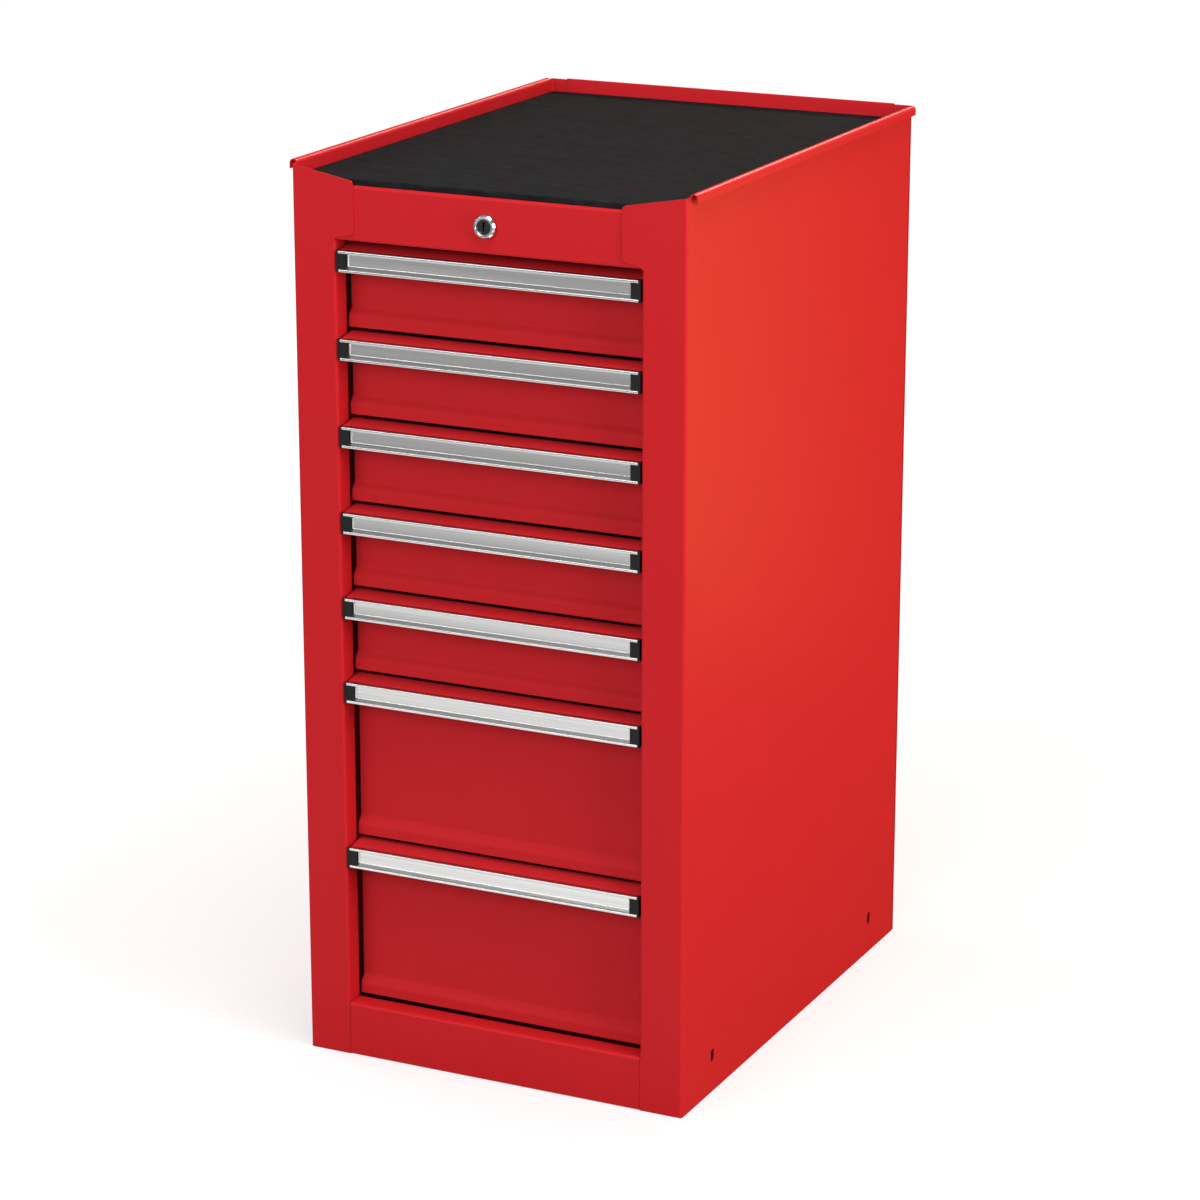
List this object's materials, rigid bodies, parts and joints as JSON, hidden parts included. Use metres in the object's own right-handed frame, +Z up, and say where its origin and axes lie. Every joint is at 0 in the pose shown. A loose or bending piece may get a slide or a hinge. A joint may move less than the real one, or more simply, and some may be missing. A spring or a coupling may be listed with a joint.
{
  "type": "tool chest side cabinet",
  "caption": "Tall narrow steel tool chest side cabinet: drawers on ball slides with aluminium pulls, a lipped top tray with a mat, and a key lock that bars every drawer.",
  "frame": {"origin": "on the floor, under the middle of the cabinet's footprint", "axes": "+Z up, -Y is the front that the drawers open towards, +X to the right seen from the front"},
  "size_m": [0.376, 0.4953, 0.8005],
  "materials": {
    "red_paint": "semi-gloss powder coat",
    "mat_rubber": "matte fine-grained foam rubber",
    "pull_aluminium": "brushed, clear anodised",
    "cap_plastic": "moulded black",
    "slide_zinc": "bright zinc plate",
    "lock_chrome": "bright nickel",
    "rivet_steel": "plain"
  },
  "bodies": {
    "case": {"right_side_panel": "red_paint", "left_side_panel": "red_paint", "back_panel": "red_paint", "top_panel": "red_paint", "bottom_panel": "red_paint", "bottom_rail": "red_paint", "top_mat": "mat_rubber", "left_slide_posts": "red_paint", "right_slide_posts": "red_paint", "cabinet_slide_channels": "slide_zinc", "back_panel_rivets": "rivet_steel", "lock_housing": "lock_chrome", "lock_nut": "slide_zinc", "lock_rod_bracket": "slide_zinc", "lock_bar_guides": "cap_plastic"},
    "lock_plug_and_rod": {"lock_plug": "lock_chrome", "lock_tail_rod": "slide_zinc"},
    "lock_bar": {"lock_bar": "slide_zinc"},
    "drawer_1": {"drawer_1_front": "red_paint", "drawer_1_tray": "red_paint", "drawer_1_pull": "pull_aluminium", "drawer_1_pull_caps": "cap_plastic", "drawer_1_slide_members": "slide_zinc"},
    "ball_cages_1": {"drawer_1_ball_cages": "slide_zinc"},
    "drawer_2": {"drawer_2_front": "red_paint", "drawer_2_tray": "red_paint", "drawer_2_pull": "pull_aluminium", "drawer_2_pull_caps": "cap_plastic", "drawer_2_slide_members": "slide_zinc"},
    "ball_cages_2": {"drawer_2_ball_cages": "slide_zinc"},
    "drawer_3": {"drawer_3_front": "red_paint", "drawer_3_tray": "red_paint", "drawer_3_pull": "pull_aluminium", "drawer_3_pull_caps": "cap_plastic", "drawer_3_slide_members": "slide_zinc"},
    "ball_cages_3": {"drawer_3_ball_cages": "slide_zinc"},
    "drawer_4": {"drawer_4_front": "red_paint", "drawer_4_tray": "red_paint", "drawer_4_pull": "pull_aluminium", "drawer_4_pull_caps": "cap_plastic", "drawer_4_slide_members": "slide_zinc"},
    "ball_cages_4": {"drawer_4_ball_cages": "slide_zinc"},
    "drawer_5": {"drawer_5_front": "red_paint", "drawer_5_tray": "red_paint", "drawer_5_pull": "pull_aluminium", "drawer_5_pull_caps": "cap_plastic", "drawer_5_slide_members": "slide_zinc"},
    "ball_cages_5": {"drawer_5_ball_cages": "slide_zinc"},
    "drawer_6": {"drawer_6_front": "red_paint", "drawer_6_tray": "red_paint", "drawer_6_pull": "pull_aluminium", "drawer_6_pull_caps": "cap_plastic", "drawer_6_slide_members": "slide_zinc"},
    "ball_cages_6": {"drawer_6_ball_cages": "slide_zinc"},
    "drawer_7": {"drawer_7_front": "red_paint", "drawer_7_tray": "red_paint", "drawer_7_pull": "pull_aluminium", "drawer_7_pull_caps": "cap_plastic", "drawer_7_slide_members": "slide_zinc"},
    "ball_cages_7": {"drawer_7_ball_cages": "slide_zinc"}
  },
  "joints": [
    {"name": "lock_plug_turn", "type": "hinge", "parent": "case", "child": "lock_plug_and_rod", "pos_m": [0, 0, 0.75965], "axis": [0, 1, 0], "range_deg": [0, 90]},
    {"name": "lock_bar_lift", "type": "slide", "parent": "case", "child": "lock_bar", "axis": [0, 0, 1], "range_m": [0, 0.0127]},
    {"name": "drawer_1_slide", "type": "slide", "parent": "case", "child": "drawer_1", "axis": [0, -1, 0], "range_m": [0, 0.3]},
    {"name": "ball_cages_1_slide", "type": "slide", "parent": "case", "child": "ball_cages_1", "axis": [0, -1, 0], "range_m": [0, 0.15]},
    {"name": "drawer_2_slide", "type": "slide", "parent": "case", "child": "drawer_2", "axis": [0, -1, 0], "range_m": [0, 0.3]},
    {"name": "ball_cages_2_slide", "type": "slide", "parent": "case", "child": "ball_cages_2", "axis": [0, -1, 0], "range_m": [0, 0.15]},
    {"name": "drawer_3_slide", "type": "slide", "parent": "case", "child": "drawer_3", "axis": [0, -1, 0], "range_m": [0, 0.3]},
    {"name": "ball_cages_3_slide", "type": "slide", "parent": "case", "child": "ball_cages_3", "axis": [0, -1, 0], "range_m": [0, 0.15]},
    {"name": "drawer_4_slide", "type": "slide", "parent": "case", "child": "drawer_4", "axis": [0, -1, 0], "range_m": [0, 0.3]},
    {"name": "ball_cages_4_slide", "type": "slide", "parent": "case", "child": "ball_cages_4", "axis": [0, -1, 0], "range_m": [0, 0.15]},
    {"name": "drawer_5_slide", "type": "slide", "parent": "case", "child": "drawer_5", "axis": [0, -1, 0], "range_m": [0, 0.3]},
    {"name": "ball_cages_5_slide", "type": "slide", "parent": "case", "child": "ball_cages_5", "axis": [0, -1, 0], "range_m": [0, 0.15]},
    {"name": "drawer_6_slide", "type": "slide", "parent": "case", "child": "drawer_6", "axis": [0, -1, 0], "range_m": [0, 0.3]},
    {"name": "ball_cages_6_slide", "type": "slide", "parent": "case", "child": "ball_cages_6", "axis": [0, -1, 0], "range_m": [0, 0.15]},
    {"name": "drawer_7_slide", "type": "slide", "parent": "case", "child": "drawer_7", "axis": [0, -1, 0], "range_m": [0, 0.3]},
    {"name": "ball_cages_7_slide", "type": "slide", "parent": "case", "child": "ball_cages_7", "axis": [0, -1, 0], "range_m": [0, 0.15]}
  ],
  "couplings": [
    {"joint": "lock_plug_turn", "follows": "lock_bar_lift", "rad_per_m": 123.68},
    {"joint": "ball_cages_1_slide", "follows": "drawer_1_slide", "ratio": 0.5},
    {"joint": "ball_cages_2_slide", "follows": "drawer_2_slide", "ratio": 0.5},
    {"joint": "ball_cages_3_slide", "follows": "drawer_3_slide", "ratio": 0.5},
    {"joint": "ball_cages_4_slide", "follows": "drawer_4_slide", "ratio": 0.5},
    {"joint": "ball_cages_5_slide", "follows": "drawer_5_slide", "ratio": 0.5},
    {"joint": "ball_cages_6_slide", "follows": "drawer_6_slide", "ratio": 0.5},
    {"joint": "ball_cages_7_slide", "follows": "drawer_7_slide", "ratio": 0.5}
  ]
}
